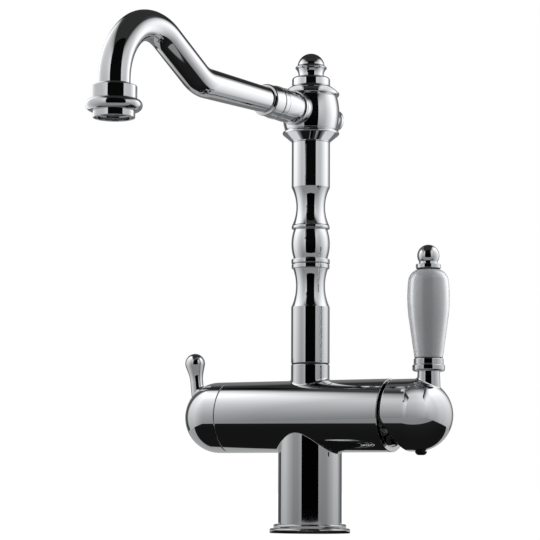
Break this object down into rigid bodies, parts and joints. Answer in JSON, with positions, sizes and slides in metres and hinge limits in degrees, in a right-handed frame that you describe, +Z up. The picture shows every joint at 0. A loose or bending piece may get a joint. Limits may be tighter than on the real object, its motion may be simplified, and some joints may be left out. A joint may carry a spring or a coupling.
{
  "type": "kitchen mixer tap",
  "caption": "Single-hole kitchen mixer tap: pillar and cross barrel with porcelain side lever, small shut-off handle, turned riser and swivelling swan-neck spout.",
  "frame": {"origin": "centre of the base ring's underside, on the sink top, on the pillar's axis", "axes": "+Z up along the pillar and riser, +X along the cross barrel towards the porcelain lever, -Y to the front of the sink"},
  "size_m": [0.2154, 0.2877, 0.3502],
  "materials": {
    "chrome": "polished chrome plate",
    "porcelain": "white glazed porcelain, opaque",
    "brass": "machined brass",
    "steel": "plain stainless steel",
    "rubber": "black seal rubber",
    "white_plastic": "moulded white acetal",
    "grey_plastic": "moulded grey plastic",
    "ceramic": "ground alumina, opaque"
  },
  "bodies": {
    "tap_body": {"base_ring": "chrome", "base_gasket": "rubber", "body_casting": "chrome", "swivel_sleeve": "white_plastic", "swivel_washer": "rubber", "swivel_screw": "steel", "cartridge_base": "white_plastic", "cartridge_seals": "rubber", "fixed_disc": "ceramic", "cartridge_housing": "grey_plastic", "cartridge_nut": "brass", "valve_headwork": "brass", "valve_seal": "rubber", "valve_fixed_disc": "ceramic"},
    "spout": {"swivel_spigot": "brass", "spigot_o_rings": "rubber", "lower_riser": "chrome", "riser_knop": "chrome", "upper_riser": "chrome", "spout_hub": "chrome", "finial": "chrome", "hub_rear_cap": "chrome", "rear_cap_washer": "rubber", "spout_socket": "chrome", "socket_o_ring": "rubber", "spout_collar": "chrome", "spout_tube": "chrome", "outlet_collar": "chrome", "aerator_washer": "rubber", "aerator_mesh": "steel", "aerator_insert": "grey_plastic", "aerator_housing": "chrome"},
    "temperature_rotor": {"temperature_carrier": "white_plastic", "pivot_pin": "steel"},
    "mixer_handle": {"cartridge_spindle": "brass", "handle_dome": "chrome", "handle_grub_screw": "steel", "grub_screw_plug": "rubber", "lever_stem": "chrome", "lever_bead": "chrome", "grip_washers": "rubber", "porcelain_grip": "porcelain", "lever_finial": "chrome", "lever_rod": "steel"},
    "control_disc": {"moving_disc": "ceramic", "disc_carrier": "grey_plastic"},
    "shutoff_handle": {"valve_moving_disc": "ceramic", "valve_spindle": "brass", "shutoff_dome": "chrome", "shutoff_lever": "chrome", "shutoff_grub_screw": "steel"}
  },
  "joints": [
    {"name": "spout_swivel", "type": "hinge", "parent": "tap_body", "child": "spout", "pos_m": [0, 0, 0.1], "axis": [0, 0, 1], "continuous": true},
    {"name": "temperature_turn", "type": "hinge", "parent": "tap_body", "child": "temperature_rotor", "pos_m": [0.056, 0, 0.0836], "axis": [1, 0, 0], "range_deg": [-45, 45]},
    {"name": "flow_lift", "type": "hinge", "parent": "temperature_rotor", "child": "mixer_handle", "pos_m": [0.056, 0, 0.0836], "axis": [0, 1, 0], "range_deg": [0, 20]},
    {"name": "disc_slide", "type": "slide", "parent": "temperature_rotor", "child": "control_disc", "axis": [0, 0, 1], "range_m": [0, 0.0058]},
    {"name": "shutoff_turn", "type": "hinge", "parent": "tap_body", "child": "shutoff_handle", "pos_m": [-0.066, 0, 0.0836], "axis": [1, 0, 0], "range_deg": [0, 90]}
  ],
  "couplings": [
    {"joint": "disc_slide", "follows": "flow_lift", "m_per_rad": 0.016}
  ]
}
